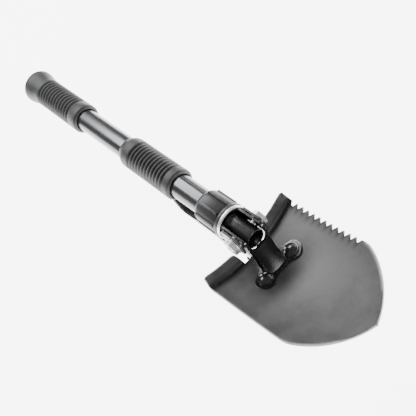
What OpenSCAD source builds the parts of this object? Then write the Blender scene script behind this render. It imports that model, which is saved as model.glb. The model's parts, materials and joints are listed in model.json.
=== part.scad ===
// Folding camp shovel with a folding pick, a screw lock collar and a two-section handle.
// The handle lies along +X with its butt at the origin, +Z is the dished face of the blade,
// and +Y is the side of the blade that carries the saw teeth.

/* [Handle] */
// Outside diameter of both handle tubes
tube_d = 24; // [20:0.5:27]
// Wall of the handle tubes
tube_wall = 1.5; // [1.2:0.1:2]
// Length of the upper grip, from the butt to its front lip
upper_grip_len = 104; // [90:1:130]
// Bare tube between the two grips
upper_bare_len = 77; // [40:1:90]
// Length of the lower grip
lower_grip_len = 81; // [65:1:110]
// Bare tube between the lower grip and the lock collar
lower_bare_len = 36; // [20:1:60]

/* [Grips] */
// Rubber on the tube, at the lands between the grooves
grip_wall = 4; // [3:0.1:5]
// How far the butt flares past the lands
flare_height = 2.8; // [1:0.1:5]
// Depth of the ring grooves
groove_depth = 1; // [0.5:0.1:1.6]
// Rounding of the front lips
lip_radius = 3; // [1.5:0.1:3]

/* [Handle joint] */
// Diameter of the threaded stud
stud_d = 14; // [10:0.5:16]
// How far the stud reaches into the socket
stud_len = 22; // [14:1:30]
// How deep the lower grip's rear sleeve covers the upper tube
sleeve_cover = 8; // [4:1:12]
// Thickness of the joint washer
joint_washer_t = 1.2; // [0.6:0.1:2]

/* [Lock collar] */
// Length of the collar, its bright front ring included
collar_len = 35.3; // [30:0.1:42]
// Length of the bright front ring
ring_len = 2.6; // [2:0.1:4]
// Wall of the thread sleeve that the collar screws on
thread_wall = 2.2; // [1.6:0.1:2.6]
// Wall of the collar over its thread
collar_wall = 2; // [1.5:0.1:3]
// How far the grip ribs stand out
rib_height = 0.9; // [0.4:0.1:1.4]
// Number of grip ribs
rib_count = 8; // [6:1:16]

/* [Hinge] */
// Gap between the handle tube's bore and the narrower hinge tube
hinge_tube_gap = 1.1; // [0.8:0.1:2.4]
// Wall of the hinge tube
hinge_tube_wall = 1.5; // [1:0.1:2]
// How far the hinge tube runs past the bolt
hinge_tube_front = 12; // [10:0.5:13]
// From the bolt to the front face of the collar
heel_gap = 16.7; // [15:0.1:20]
// Diameter of the pivot bolt's shank
bolt_d = 8; // [6:0.5:9]
// Thickness of the bracket's sheet
cheek_t = 1.9; // [1.5:0.1:2.4]
// How far the cheeks stand above the bolt
cheek_top = 11.8; // [8:0.1:12]

/* [Blade] */
// From the bolt to the tip of the blade
blade_reach = 137.5; // [115:0.5:150]
// Width of the blade at its rear corners
blade_w = 107; // [92:1:120]
// Thickness of the blade and of the pick
sheet_t = 2; // [1.5:0.1:2.5]
// Depth of the blade under the bolt, at the bend of the foot steps
blade_drop = 38.7; // [36:0.1:42]
// Radius of the two curved front edges
front_radius = 90; // [75:1:200]
// Radius of the dish across the blade
dish_radius = 114; // [100:1:200]
// Radius of the sweep along the blade
sweep_radius = 365; // [320:5:500]
// Height of the foot steps, along their own slope
step_height = 12.5; // [8:0.5:16]
// Number of saw teeth
tooth_count = 10; // [6:1:10]
// Pitch of the saw teeth
tooth_pitch = 7.04; // [5:0.02:7.5]
// Depth of the saw teeth
tooth_depth = 4.4; // [2.5:0.1:6]

/* [Pick] */
// From the bolt to the tip of the pick
pick_reach = 128; // [110:1:140]
// Depth of the pick's underside below the bolt
pick_drop = 24; // [22:0.5:26]
// Height of the flanges on the pick's sides
flange_height = 9; // [5:0.5:10]

/* [Hidden] */

$fn = 96;
eps = 0.01;          // overrun of a cut past a face
running = 0.1;       // radial clearance of a part that turns or slides
side_play = 0.1;     // gap between flat parts that swing past each other

tube_r = tube_d / 2;
tube_bore_r = tube_r - tube_wall;
grip_r = tube_r + grip_wall;

// Stations along the handle
split_x = upper_grip_len + upper_bare_len;
joint_x = split_x + sleeve_cover;
lower_tube_x = joint_x + joint_washer_t;
lower_lip_x = split_x + lower_grip_len;
collar_x = lower_lip_x + lower_bare_len;
collar_front_x = collar_x + collar_len;
pivot_x = collar_front_x + heel_gap;

// Upper grip
butt_wall = 4;
butt_round = 5;
flare_len = 19;      // from the widest ring to the first land
groove_count = 12;
groove_w = 2.4;
upper_groove_x = 30;
upper_groove_pitch = 5.2;
plug_len = 14;
plug_flange_t = 2;

// Lower grip
shoulder_len = 9;
shoulder_rim = 0.8;
lower_groove_x = 18.5;
lower_groove_pitch = 4.6;

// Handle joint
stud_r = stud_d / 2;
insert_len = 22;
socket_len = stud_len + 6;
pin_r = 1.5;
chamfer = 1;

// Lock collar
thread_r = tube_r + thread_wall;
collar_bore_r = thread_r + running;
collar_r = collar_bore_r + collar_wall;
collar_ring_r = collar_r + 0.6;
rib_r = collar_r + rib_height;
rib_w = 2.4;
rib_phase = 18;      // turn of the first rib past the top
rib_inset = 4.5;
rib_len = collar_len - ring_len - 9.8;
collar_back_wall = 4;
flange_len = 3.2;
ring_recess = 2.2;   // of the thread sleeve's face behind the ring's face
sleeve_back_gap = 2;

// Hinge
hinge_tube_r = tube_bore_r - hinge_tube_gap;
hinge_tube_tail = 34;          // length held inside the handle tube
hinge_pin_back = 24;
bolt_r = bolt_d / 2;
cheek_in = hinge_tube_r + 0.3;
cheek_out = cheek_in + cheek_t;
cheek_swing = sqrt(pow(collar_bore_r, 2) - pow(cheek_out, 2));  // half height open to a cheek
heel_play = 0.4;
heel_r = min(heel_gap + ring_recess - heel_play, norm([heel_gap - heel_play, cheek_swing]));
cheek_front = hinge_tube_front + 2.5;
cheek_corner_r = 4;
cheek_rear = 3.5;              // rear edge of the cheeks, above the foot
cheek_heel_end = [-11, -13];   // where the flank leaves the round heel, from the bolt
cheek_waist = [-2, -18];       // bend in the cheek's rear edge, clear of the swung pick
nose_turn = -28;               // angle of the nose web's free edge, clear of the folding tube
nose_r = norm([hinge_tube_front, hinge_tube_r]) + 0.6;
cheek_washer_t = 1;
fork_in = cheek_out + cheek_washer_t + 2 * side_play;
fork_out = fork_in + sheet_t;
fork_r = heel_gap - heel_play; // swing of the pick's fork ahead of the collar
fork_top = 11.4;
washer_t = 0.8;
washer_r = bolt_r + 4;
hex_across = 13 * bolt_d / 8;
hex_r = hex_across / sqrt(3);
hex_t = 4.6;
sleeve_wall = 1.5;

// Blade surface: a sweep along X about a far centre, dished across
sweep_back = 29.6;             // behind the bolt, where the sweep runs level
step_x = -5;                   // bend of the foot steps, from the bolt
crease_rise = sweep_radius - sqrt(pow(sweep_radius, 2) - pow(step_x + sweep_back, 2));
sweep_z = sweep_radius - blade_drop - crease_rise;
step_lean = 25;                // of the foot steps from upright
notch_half_w = fork_out + 1;
notch_x = -3;
side_taper = 1.9;
shoulder_x = 88;               // where the straight sides end
side_end_w = blade_w / 2 - side_taper;
first_tip_x = 11.1;
valley_half = tooth_pitch / 2;

// Bracket foot and rivets
ear_x = 26.4;
ear_y = 17;
ear_r = 9.7;
foot_front = 31.8;
foot_rear = -5;
waist_x = 13;
rivet_shank_r = 3;
rivet_head_r = 6.8;
rivet_head_h = 3.4;
rivet_rim_r = 7.7;
rivet_rim_t = 0.8;
rivet_lift = pow(rivet_rim_r, 2) / (2 * dish_radius) + 0.02;  // a flat rim on a dished foot
rim_play = 0.3;          // between a rivet's rim and the web beside it
rivet_tail_r = 5;
rivet_tail_h = 1;

// Pick
pick_eye_r = 12;
pick_toe = 18;       // from the tip to the start of the rib
pick_web_x = -22;
pick_side_end = -72;
pick_rib_w = 5;
pick_rib_h = 1.6;

// Points of an arc, from angle a to angle b
function arc(c, r, a, b, n = 8) =
    [for (i = [0:n]) c + r * [cos(a + (b - a) * i / n), sin(a + (b - a) * i / n)]];

// Height of the blade's dished face above the bolt line, at x from the bolt and y
function blade_z(x, y) =
    sweep_z - sqrt(pow(sweep_radius - dish_radius + sqrt(pow(dish_radius, 2) - y * y), 2)
                   - pow(x + sweep_back, 2));

// A turned shape along X from [x, radius] points
module turned(points) {
    rotate([90, 0, 90])
        rotate_extrude()
            polygon([for (p = points) [p[1], p[0]]]);
}

module rod(x, len, r) {
    translate([x, 0, 0])
        rotate([0, 90, 0])
            cylinder(h = len, r = r);
}

module pipe(x, len, r, bore) {
    difference() {
        rod(x, len, r);
        rod(x - eps, len + 2 * eps, bore);
    }
}

// A round bar across the handle, centred on its axis
module cross_bar(x, len, r) {
    translate([x, len / 2, 0])
        rotate([90, 0, 0])
            cylinder(h = len, r = r);
}

// A ring across the handle, from y outwards
module cross_ring(y, len, r, bore) {
    translate([pivot_x, y, 0])
        rotate([-90, 0, 0])
            difference() {
                cylinder(h = len, r = r);
                translate([0, 0, -eps])
                    cylinder(h = len + 2 * eps, r = bore);
            }
}

module both_sides() {
    children();
    mirror([0, 1, 0])
        children();
}

module grooves(x, pitch, r) {
    for (i = [0:groove_count - 1])
        translate([x + i * pitch, 0, 0])
            rotate([0, 90, 0])
                rotate_extrude()
                    translate([r + groove_w / 2 - groove_depth, 0])
                        circle(d = groove_w, $fn = 24);
}

// ---- Upper handle section ----

module upper_grip() {
    flare_r = grip_r + flare_height;
    steps = 8;
    lip = arc([upper_grip_len - lip_radius, grip_r - lip_radius], lip_radius, 90, 0, 6);
    butt = arc([butt_round, flare_r - butt_round], butt_round, 180, 100, 6);
    flare = [for (i = [0:steps])
        [butt_round + flare_len * i / steps,
         grip_r + flare_height * (1 + cos(180 * i / steps)) / 2]];
    color("#17181a")
        difference() {
            turned(concat([[0, 0]], butt, flare, lip, [[upper_grip_len, 0]]));
            rod(butt_wall, upper_grip_len, tube_r);
            grooves(upper_groove_x, upper_groove_pitch, grip_r);
        }
}

module end_plug() {
    color("#2a2b2d")
        union() {
            rod(butt_wall, plug_flange_t, tube_r);
            rod(butt_wall, plug_flange_t + plug_len, tube_bore_r);
        }
}

module upper_tube() {
    x = butt_wall + plug_flange_t;
    color("#26282b")
        difference() {
            pipe(x, joint_x - x, tube_r, tube_bore_r);
            cross_bar(joint_x - insert_len / 2, tube_d + 2, pin_r);
        }
}

module joint_stud() {
    color("#8b8d90")
        difference() {
            union() {
                rod(joint_x - insert_len, insert_len, tube_bore_r);
                turned([[joint_x - eps, 0], [joint_x - eps, stud_r - running],
                        [joint_x + stud_len - chamfer, stud_r - running],
                        [joint_x + stud_len, stud_r - running - chamfer],
                        [joint_x + stud_len, 0]]);
            }
            cross_bar(joint_x - insert_len / 2, tube_d + 2, pin_r);
        }
}

module stud_pin() {
    color("#8b8d90")
        cross_bar(joint_x - insert_len / 2, 2 * tube_r - 0.6, pin_r);
}

module joint_washer() {
    color("#3a3a38")
        pipe(joint_x, joint_washer_t, tube_r - running, stud_r);
}

// ---- Lower handle section ----

module lower_grip() {
    lip = arc([lower_lip_x - lip_radius, grip_r - lip_radius], lip_radius, 90, 0, 6);
    steps = 6;
    shoulder = [for (i = [0:steps])
        [split_x + shoulder_len * i / steps,
         tube_r + shoulder_rim + (grip_wall - shoulder_rim) * sin(90 * i / steps)]];
    color("#17181a")
        difference() {
            turned(concat([[split_x, 0]], shoulder, lip, [[lower_lip_x, 0]]));
            rod(split_x - eps, sleeve_cover + joint_washer_t + eps, tube_r + running);
            rod(lower_tube_x, lower_grip_len, tube_r);
            grooves(split_x + lower_groove_x, lower_groove_pitch, grip_r);
        }
}

module lower_tube() {
    color("#26282b")
        difference() {
            pipe(lower_tube_x, collar_front_x - ring_recess - lower_tube_x, tube_r, tube_bore_r);
            cross_bar(lower_tube_x + socket_len / 2 + stud_len / 2, tube_d + 2, pin_r);
            cross_bar(collar_front_x - hinge_pin_back, tube_d + 2, pin_r);
        }
}

module joint_socket() {
    color("#8b8d90")
        difference() {
            rod(lower_tube_x, socket_len + 2 * pin_r, tube_bore_r);
            rod(lower_tube_x - eps, stud_len + eps, stud_r);
            cross_bar(lower_tube_x + socket_len / 2 + stud_len / 2, tube_d + 2, pin_r);
        }
}

module socket_pin() {
    color("#8b8d90")
        cross_bar(lower_tube_x + socket_len / 2 + stud_len / 2, 2 * tube_r - 0.6, pin_r);
}

module thread_sleeve() {
    x = collar_x + collar_back_wall + sleeve_back_gap;
    color("#77797c")
        difference() {
            pipe(x, collar_front_x - ring_recess - x, thread_r, tube_r);
            cross_bar(collar_front_x - hinge_pin_back, 2 * tube_r, pin_r);
        }
}

module hinge_tube() {
    x = collar_front_x - hinge_tube_tail;
    color("#141517")
        difference() {
            union() {
                pipe(x, collar_front_x - ring_recess - x, tube_bore_r,
                     hinge_tube_r - hinge_tube_wall);
                pipe(x, pivot_x + hinge_tube_front - x, hinge_tube_r,
                     hinge_tube_r - hinge_tube_wall);
            }
            cross_bar(pivot_x, tube_d + 2, bolt_r + running / 2);
            cross_bar(collar_front_x - hinge_pin_back, tube_d + 2, pin_r);
        }
}

module hinge_tube_pin() {
    color("#8b8d90")
        cross_bar(collar_front_x - hinge_pin_back, 2 * tube_r, pin_r);
}

// ---- Lock collar ----

module collar_nut() {
    nut_end = collar_front_x - ring_len;
    rib_from = collar_x + rib_inset;
    color("#3b3d41")
        difference() {
            union() {
                turned(concat(
                    [[collar_x, 0], [collar_x, tube_r + 1.4]],
                    arc([collar_x + rib_inset, collar_r - rib_inset], rib_inset, 150, 90, 6),
                    [[nut_end - flange_len, collar_r], [nut_end - flange_len, collar_ring_r],
                     [nut_end, collar_ring_r], [nut_end, 0]]));
                for (i = [0:rib_count - 1])
                    rotate([rib_phase + i * 360 / rib_count, 0, 0])
                        translate([rib_from, -rib_w / 2, 0])
                            cube([rib_len, rib_w, rib_r]);
            }
            rod(collar_x - eps, collar_len, tube_r + running);
            rod(collar_x + collar_back_wall, collar_len, collar_bore_r);
        }
}

module lock_ring() {
    color("#d6d8da")
        pipe(collar_front_x - ring_len, ring_len, collar_r, collar_bore_r);
}

// ---- Pivot ----

module hexagon(y, t) {
    translate([pivot_x, y, 0])
        rotate([-90, 0, 0])
            cylinder(h = t, r = hex_r, $fn = 6);
}

module pivot_bolt() {
    seat = fork_out + side_play + washer_t;
    color("#c9cbcd")
        union() {
            translate([pivot_x, -seat - hex_t - 1, 0])
                rotate([-90, 0, 0])
                    cylinder(h = 2 * seat + hex_t + 1 + eps, r = bolt_r);
            hexagon(seat, hex_t);
        }
}

module pivot_nut() {
    seat = fork_out + side_play + washer_t;
    color("#c9cbcd")
        difference() {
            hexagon(-seat - hex_t, hex_t);
            cross_bar(pivot_x, 4 * seat, bolt_r);
        }
}

module pivot_washers() {
    color("#bfc1c3")
        both_sides()
            cross_ring(fork_out + side_play, washer_t, washer_r, bolt_r);
}

module cheek_washers() {
    color("#9fa1a4")
        both_sides()
            cross_ring(cheek_out + side_play, cheek_washer_t, washer_r, bolt_r);
}

module spacer_sleeve() {
    r = hinge_tube_r - hinge_tube_wall;
    color("#77797c")
        intersection() {
            difference() {
                cross_bar(pivot_x, 2 * r, bolt_r + sleeve_wall);
                cross_bar(pivot_x, 3 * r, bolt_r);
            }
            rod(pivot_x - 2 * r, 4 * r, r);
        }
}

// ---- Blade ----

// Part of the blade's swept surface, between two depths under its dished face
module dish(top, bottom) {
    centre = sweep_radius - dish_radius;
    translate([pivot_x - sweep_back, 0, sweep_z])
        rotate([90, 0, 0])
            rotate([0, 0, -105])
                rotate_extrude(angle = 50, $fn = 360)
                    intersection() {
                        difference() {
                            translate([centre, 0])
                                circle(r = dish_radius + bottom, $fn = 360);
                            translate([centre, 0])
                                circle(r = dish_radius + top, $fn = 360);
                        }
                        translate([sweep_radius - 45, -blade_w])
                            square([60, 2 * blade_w]);
                    }
}

// The space on the dished side of the blade, down to a depth under its face
module above_dish(bottom) {
    centre = sweep_radius - dish_radius;
    translate([pivot_x - sweep_back, 0, sweep_z])
        rotate([90, 0, 0])
            rotate([0, 0, -105])
                rotate_extrude(angle = 50, $fn = 360)
                    intersection() {
                        translate([centre, 0])
                            circle(r = dish_radius + bottom, $fn = 360);
                        translate([centre, -blade_w])
                            square([sweep_radius, 2 * blade_w]);
                    }
}

// A prism over a plan outline given from the bolt
module over_plan() {
    translate([pivot_x, 0, -80])
        linear_extrude(160)
            children();
}

module blade_plan() {
    half = blade_w / 2;
    // The centre of each front edge's arc, from its two ends
    chord = [blade_reach - shoulder_x, -side_end_w];
    middle = [(blade_reach + shoulder_x) / 2, side_end_w / 2];
    centre = middle + [chord[1], -chord[0]] / norm(chord)
             * sqrt(pow(front_radius, 2) - pow(norm(chord) / 2, 2));
    difference() {
        union() {
            polygon([[notch_x, -notch_half_w], [step_x - sheet_t / 2, -notch_half_w],
                     [step_x - sheet_t / 2, -half], [shoulder_x, -side_end_w],
                     [shoulder_x, side_end_w], [step_x - sheet_t / 2, half],
                     [step_x - sheet_t / 2, notch_half_w], [notch_x, notch_half_w]]);
            intersection() {
                translate(centre)
                    circle(r = front_radius, $fn = 360);
                translate([centre[0], -centre[1]])
                    circle(r = front_radius, $fn = 360);
                translate([shoulder_x - eps, -half])
                    square([blade_reach - shoulder_x + 1, blade_w]);
            }
        }
        for (i = [0:tooth_count])
            translate([first_tip_x + (i - 0.5) * tooth_pitch,
                       half - side_taper * (first_tip_x + i * tooth_pitch) / shoulder_x])
                polygon([[-valley_half, 3], [-valley_half, 0], [0, -tooth_depth],
                         [valley_half, 0], [valley_half, 3]]);
    }
}

module foot_step() {
    curve_r = dish_radius / sin(step_lean);
    half = blade_w / 2;
    inner = notch_half_w;
    below = 6;           // kept under the bend, to meet the blade
    r = 4;
    profile = concat(
        [[inner, -below], [inner, 0]],
        arc([inner + r + 1, step_height - r], r, 180, 90, 6),
        arc([half - r - 2, step_height - r], r, 90, 10, 6),
        [[half, 0], [half, -below]]);
    translate([pivot_x + step_x, 0, -blade_drop])
        rotate([0, -step_lean, 0])
            intersection() {
                translate([0, 0, -below])
                    linear_extrude(step_height + below + 1)
                        translate([curve_r, 0])
                            difference() {
                                circle(r = curve_r + sheet_t, $fn = 360);
                                circle(r = curve_r, $fn = 360);
                                translate([20, -2 * curve_r])
                                    square([2 * curve_r, 4 * curve_r]);
                            }
                translate([-20, 0, 0])
                    rotate([90, 0, 90])
                        linear_extrude(60)
                            polygon(profile);
            }
}

// A piece that stands square to the blade at a rivet, its base on the dished face
module at_rivet() {
    both_sides()
        translate([pivot_x + ear_x, ear_y, blade_z(ear_x, ear_y)])
            rotate([asin(ear_y / dish_radius), -asin((ear_x + sweep_back) / sweep_radius), 0])
                children();
}

module rivet_holes() {
    at_rivet()
        translate([0, 0, -10])
            cylinder(h = 20, r = rivet_shank_r);
}

module blade() {
    color("#3e4044")
        difference() {
            union() {
                intersection() {
                    over_plan()
                        blade_plan();
                    dish(0, sheet_t);
                }
                intersection() {
                    both_sides()
                        foot_step();
                    above_dish(sheet_t);
                }
            }
            rivet_holes();
        }
}

module foot_plan() {
    // Where the flanks of the foot meet the round ears
    flank = [ear_x, ear_y] + ear_r * [cos(130), sin(130)];
    translate([foot_rear, -cheek_out])
        square([foot_front - foot_rear, 2 * cheek_out]);
    for (side = [-1, 1])
        translate([ear_x, side * ear_y])
            circle(r = ear_r);
    polygon([[waist_x, -cheek_out], [flank[0], -flank[1]], [foot_front, -ear_y],
             [foot_front, ear_y], [flank[0], flank[1]], [waist_x, cheek_out]]);
}

// One cheek seen from the side, from the bolt
module cheek_side() {
    top_x = -sqrt(pow(heel_r, 2) - pow(cheek_top, 2));
    heel_from = 180 - asin(cheek_top / heel_r);
    polygon(concat(
        arc([0, 0], heel_r, heel_from, 205, 8),
        [cheek_heel_end, cheek_waist, [cheek_rear, cheek_waist[1] - 11], [cheek_rear, -blade_drop - 2],
         [cheek_front, -blade_drop - 2],
         [cheek_front, cheek_top - cheek_corner_r]],
        arc([cheek_front - cheek_corner_r, cheek_top - cheek_corner_r], cheek_corner_r, 0, 90, 6),
        [[top_x, cheek_top]]));
}

// The web that closes the channel ahead of the hinge tube, seen from the side
module nose_side() {
    tip = nose_r * [cos(nose_turn), sin(nose_turn)];
    face = [tip, tip + [0.7, -7], tip + [3.8, -16], tip + [9.5, -25], tip + [16, -31]];
    polygon(concat(face, [for (i = [4:-1:0]) face[i] + [cheek_t, 0]]));
}

module blade_bracket() {
    color("#101113")
        difference() {
            intersection() {
                union() {
                    intersection() {
                        over_plan()
                            foot_plan();
                        dish(-cheek_t, 0);
                    }
                    both_sides()
                        translate([pivot_x, cheek_out, 0])
                            rotate([90, 0, 0])
                                linear_extrude(cheek_t)
                                    cheek_side();
                    difference() {
                        translate([pivot_x, cheek_in + eps, 0])
                            rotate([90, 0, 0])
                                linear_extrude(2 * (cheek_in + eps))
                                    nose_side();
                        at_rivet()
                            cylinder(h = blade_drop, r = rivet_rim_r + rim_play);
                    }
                }
                above_dish(0);
            }
            cross_bar(pivot_x, 4 * fork_out, bolt_r + running / 2);
            rivet_holes();
        }
}

module rivet_washers() {
    color("#2c2d30")
        at_rivet()
            translate([0, 0, cheek_t + rivet_lift])
                difference() {
                    cylinder(h = rivet_rim_t, r = rivet_rim_r);
                    translate([0, 0, -eps])
                        cylinder(h = 2, r = rivet_shank_r);
                }
}

module blade_rivets() {
    dome_r = (pow(rivet_head_r, 2) + pow(rivet_head_h, 2)) / (2 * rivet_head_h);
    base = cheek_t + rivet_lift + rivet_rim_t;
    color("#232427")
        at_rivet() {
            translate([0, 0, -sheet_t])
                cylinder(h = sheet_t + base + eps, r = rivet_shank_r);
            translate([0, 0, -sheet_t - rivet_tail_h])
                cylinder(h = rivet_tail_h, r = rivet_tail_r);
            intersection() {
                translate([0, 0, base + rivet_head_h - dome_r])
                    sphere(r = dome_r);
                translate([0, 0, base])
                    cylinder(h = rivet_head_h + 1, r = rivet_head_r + 1);
            }
        }
}

// ---- Pick ----

module pick_plan() {
    // An ogive from the straight sides to the point
    len = pick_reach + pick_side_end;
    r = (len * len + fork_out * fork_out) / (2 * fork_out);
    intersection() {
        translate([-pick_reach - 1, -fork_out])
            square([pick_reach + 1 + pick_web_x, 2 * fork_out]);
        union() {
            translate([pick_side_end - eps, -fork_out])
                square([pick_web_x - pick_side_end + eps, 2 * fork_out]);
            intersection() {
                translate([pick_side_end, fork_out - r])
                    circle(r = r, $fn = 360);
                translate([pick_side_end, r - fork_out])
                    circle(r = r, $fn = 360);
                translate([-pick_reach - 1, -fork_out])
                    square([pick_reach + 1 + pick_side_end, 2 * fork_out]);
            }
        }
    }
}

// One fork plate and flange of the pick seen from the side, from the bolt
module pick_side() {
    r = fork_top - 6;
    heel_from = 180 - asin(fork_top / fork_r);
    polygon(concat(
        arc([0, 0], pick_eye_r, -60, 0, 8),
        arc([pick_eye_r - r, fork_top - r], r, 0, 90, 6),
        arc([0, 0], fork_r, heel_from, 190, 8),
        [[-17, flange_height - pick_drop + 2.5], [-30, flange_height - pick_drop],
         [pick_side_end + 14, flange_height - pick_drop], [pick_side_end, -pick_drop + sheet_t],
         [pick_side_end, -pick_drop], [-8, -pick_drop]]));
}

module pick() {
    color("#2f3134")
        difference() {
            union() {
                translate([pivot_x, 0, -pick_drop])
                    linear_extrude(sheet_t)
                        pick_plan();
                both_sides()
                    translate([pivot_x, fork_out, 0])
                        rotate([90, 0, 0])
                            linear_extrude(sheet_t)
                                pick_side();
                translate([pivot_x - pick_reach + pick_toe, -pick_rib_w / 2,
                           -pick_drop + sheet_t - eps])
                    cube([pick_reach - pick_toe + pick_web_x - 6, pick_rib_w, pick_rib_h]);
            }
            cross_bar(pivot_x, 4 * fork_out, bolt_r + running / 2);
        }
}

upper_grip();
end_plug();
upper_tube();
joint_stud();
stud_pin();
joint_washer();
lower_grip();
lower_tube();
joint_socket();
socket_pin();
thread_sleeve();
hinge_tube();
hinge_tube_pin();
collar_nut();
lock_ring();
pivot_bolt();
pivot_nut();
pivot_washers();
spacer_sleeve();
cheek_washers();
blade();
blade_bracket();
rivet_washers();
blade_rivets();
pick();
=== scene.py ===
import json
from math import asin, cos, degrees, exp, hypot, log, pi, radians, sin, sqrt

import bmesh
import bpy
from mathutils import Matrix, Vector


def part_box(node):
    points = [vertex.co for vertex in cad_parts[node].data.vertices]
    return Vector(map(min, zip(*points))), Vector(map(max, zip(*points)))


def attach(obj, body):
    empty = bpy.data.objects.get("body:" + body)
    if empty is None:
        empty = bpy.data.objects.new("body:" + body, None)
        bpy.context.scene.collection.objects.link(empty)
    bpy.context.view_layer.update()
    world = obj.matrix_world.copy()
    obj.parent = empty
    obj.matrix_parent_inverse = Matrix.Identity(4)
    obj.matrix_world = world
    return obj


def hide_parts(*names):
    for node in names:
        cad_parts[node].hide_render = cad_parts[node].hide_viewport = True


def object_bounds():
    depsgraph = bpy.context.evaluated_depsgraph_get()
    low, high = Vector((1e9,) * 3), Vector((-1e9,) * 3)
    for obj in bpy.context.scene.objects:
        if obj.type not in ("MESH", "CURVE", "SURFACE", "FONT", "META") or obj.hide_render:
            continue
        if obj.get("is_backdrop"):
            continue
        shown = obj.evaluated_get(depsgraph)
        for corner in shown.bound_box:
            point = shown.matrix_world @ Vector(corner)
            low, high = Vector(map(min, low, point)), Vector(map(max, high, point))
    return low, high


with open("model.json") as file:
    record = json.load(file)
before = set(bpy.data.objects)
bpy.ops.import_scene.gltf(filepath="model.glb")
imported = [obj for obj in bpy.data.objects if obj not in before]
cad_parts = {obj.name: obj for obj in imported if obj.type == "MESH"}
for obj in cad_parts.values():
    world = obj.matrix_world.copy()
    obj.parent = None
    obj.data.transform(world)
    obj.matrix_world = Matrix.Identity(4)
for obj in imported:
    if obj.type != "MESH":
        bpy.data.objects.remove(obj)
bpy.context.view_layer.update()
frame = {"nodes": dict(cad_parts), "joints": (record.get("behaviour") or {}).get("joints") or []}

joints = {joint["name"]: joint for joint in frame["joints"]}
pivot = Vector(joints["blade_fold"]["pos_m"])
scene = bpy.context.scene
mm = 0.001             # lengths below are in mm, and are turned to metres where they are used

# ---- Rubber grips ----
# Two sleeves of black moulded rubber, pushed on the tubes and held by their own stretch.
# Each has twelve ring grooves and a rounded front lip. The upper one flares at the butt and
# closes it, and the lower one starts with a soft shoulder.


def linear(hex_colour):
    """An sRGB hex colour as the linear colour that a shader takes."""
    parts = [int(hex_colour[i:i + 2], 16) / 255 for i in (1, 3, 5)]
    return [p / 12.92 if p <= 0.04045 else ((p + 0.055) / 1.055) ** 2.4 for p in parts] + [1.0]


def add_node(tree, kind, inputs=None, **settings):
    """Adds a node with its settings. An input is a value or the output that feeds it."""
    made = tree.nodes.new(kind)
    for key, value in settings.items():
        setattr(made, key, value)
    for key, value in (inputs or {}).items():
        if isinstance(value, bpy.types.NodeSocket):
            tree.links.new(value, made.inputs[key])
        else:
            made.inputs[key].default_value = value
    return made


def start_material(name, **values):
    """A material with its shader, and the node that gives object coordinates."""
    material = bpy.data.materials.new(name)
    material.use_nodes = True
    tree = material.node_tree
    shader = tree.nodes["Principled BSDF"]
    for key, value in values.items():
        shader.inputs[key.replace("_", " ")].default_value = value
    place = add_node(tree, "ShaderNodeTexCoord").outputs["Object"]
    return material, tree, shader, place


def arc(x, r, radius, start, end, steps):
    """Points of an arc round (x, r), from one angle to another, in degrees."""
    turn = [radians(start + (end - start) * i / steps) for i in range(steps + 1)]
    return [(x + radius * cos(a), r + radius * sin(a)) for a in turn]


def turn_outline(bm, outline, steps=96, place=None):
    """Spins an outline of (x, radius) in mm round the X axis, as on a lathe."""
    chain = [bm.verts.new((x * mm, 0, r * mm)) for x, r in outline]
    edges = [bm.edges.new(pair) for pair in zip(chain, chain[1:])]
    before = set(bm.verts) - set(chain)
    bmesh.ops.spin(bm, geom=chain + edges, cent=(0, 0, 0), axis=(1, 0, 0), dvec=(0, 0, 0),
                   angle=2 * pi, steps=steps, use_merge=True, use_duplicate=False)
    made = [v for v in bm.verts if v not in before]
    if place:
        bmesh.ops.transform(bm, matrix=place, verts=made)
    return made


def finish_piece(name, bm, material, body, stands_for, sharp=30, edge=0.0):
    """Makes a bmesh a piece of the object: smooth but for its sharp edges, which may be broken."""
    bmesh.ops.remove_doubles(bm, verts=bm.verts, dist=0.001 * mm)
    bmesh.ops.dissolve_degenerate(bm, edges=bm.edges, dist=0.0005 * mm)
    bmesh.ops.recalc_face_normals(bm, faces=bm.faces)
    for face in bm.faces:
        face.smooth = True
    for side in bm.edges:
        side.smooth = len(side.link_faces) == 2 and side.calc_face_angle(0) < radians(sharp)
    mesh = bpy.data.meshes.new(name)
    bm.to_mesh(mesh)
    bm.free()
    piece = bpy.data.objects.new(name, mesh)
    scene.collection.objects.link(piece)
    mesh.materials.append(material)
    if edge:
        broken = piece.modifiers.new("broken edges", "BEVEL")
        broken.width = edge * mm
        broken.segments = 3
        broken.limit_method = "ANGLE"
        broken.angle_limit = radians(50)
        broken.harden_normals = True
    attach(piece, body)
    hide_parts(*stands_for)
    return piece


def reach(node):
    """Where a CAD part starts and ends along the handle, and its radius there, in mm."""
    low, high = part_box(node)
    return low.x / mm, high.x / mm, max(high.z, high.y) / mm


# Moulded rubber: matt, dark grey where light falls on it, with a fine grain from the mould
# and faint paler bloom that a handled grip takes on, painted shade in the groove bottoms
# and a painted highlight on the crests between them
GRAIN = 0.45
moulded_rubber, tree, shader, place = start_material(
    "moulded_rubber", Roughness=0.5, IOR=1.52, Sheen_Weight=0.08, Sheen_Roughness=0.5)
bloom = add_node(tree, "ShaderNodeTexNoise", {"Vector": place, "Scale": 1 / (14 * mm), "Detail": 4})
grain = add_node(tree, "ShaderNodeTexNoise", {"Vector": place, "Scale": 1 / (GRAIN * mm), "Detail": 3})
tint = add_node(tree, "ShaderNodeMapRange", {"Value": bloom.outputs[0], 1: 0.3, 2: 0.7})
bloomed = add_node(tree, "ShaderNodeMix", {
    0: tint.outputs[0], 6: linear("#222324"), 7: linear("#2c2d2d")}, data_type="RGBA")
# Painted highlight: the crests between the grooves are mixed towards pale grey
crest = add_node(tree, "ShaderNodeAttribute", attribute_name="crest")
highlight_and_wear = add_node(tree, "ShaderNodeMix", {
    0: crest.outputs["Fac"], 6: bloomed.outputs[2], 7: linear("#8a8a8a")}, data_type="RGBA")
# Painted shade: the groove bottoms are mixed towards near black
painted_groove_shade = add_node(tree, "ShaderNodeAttribute", attribute_name="painted_groove_shade")
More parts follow.
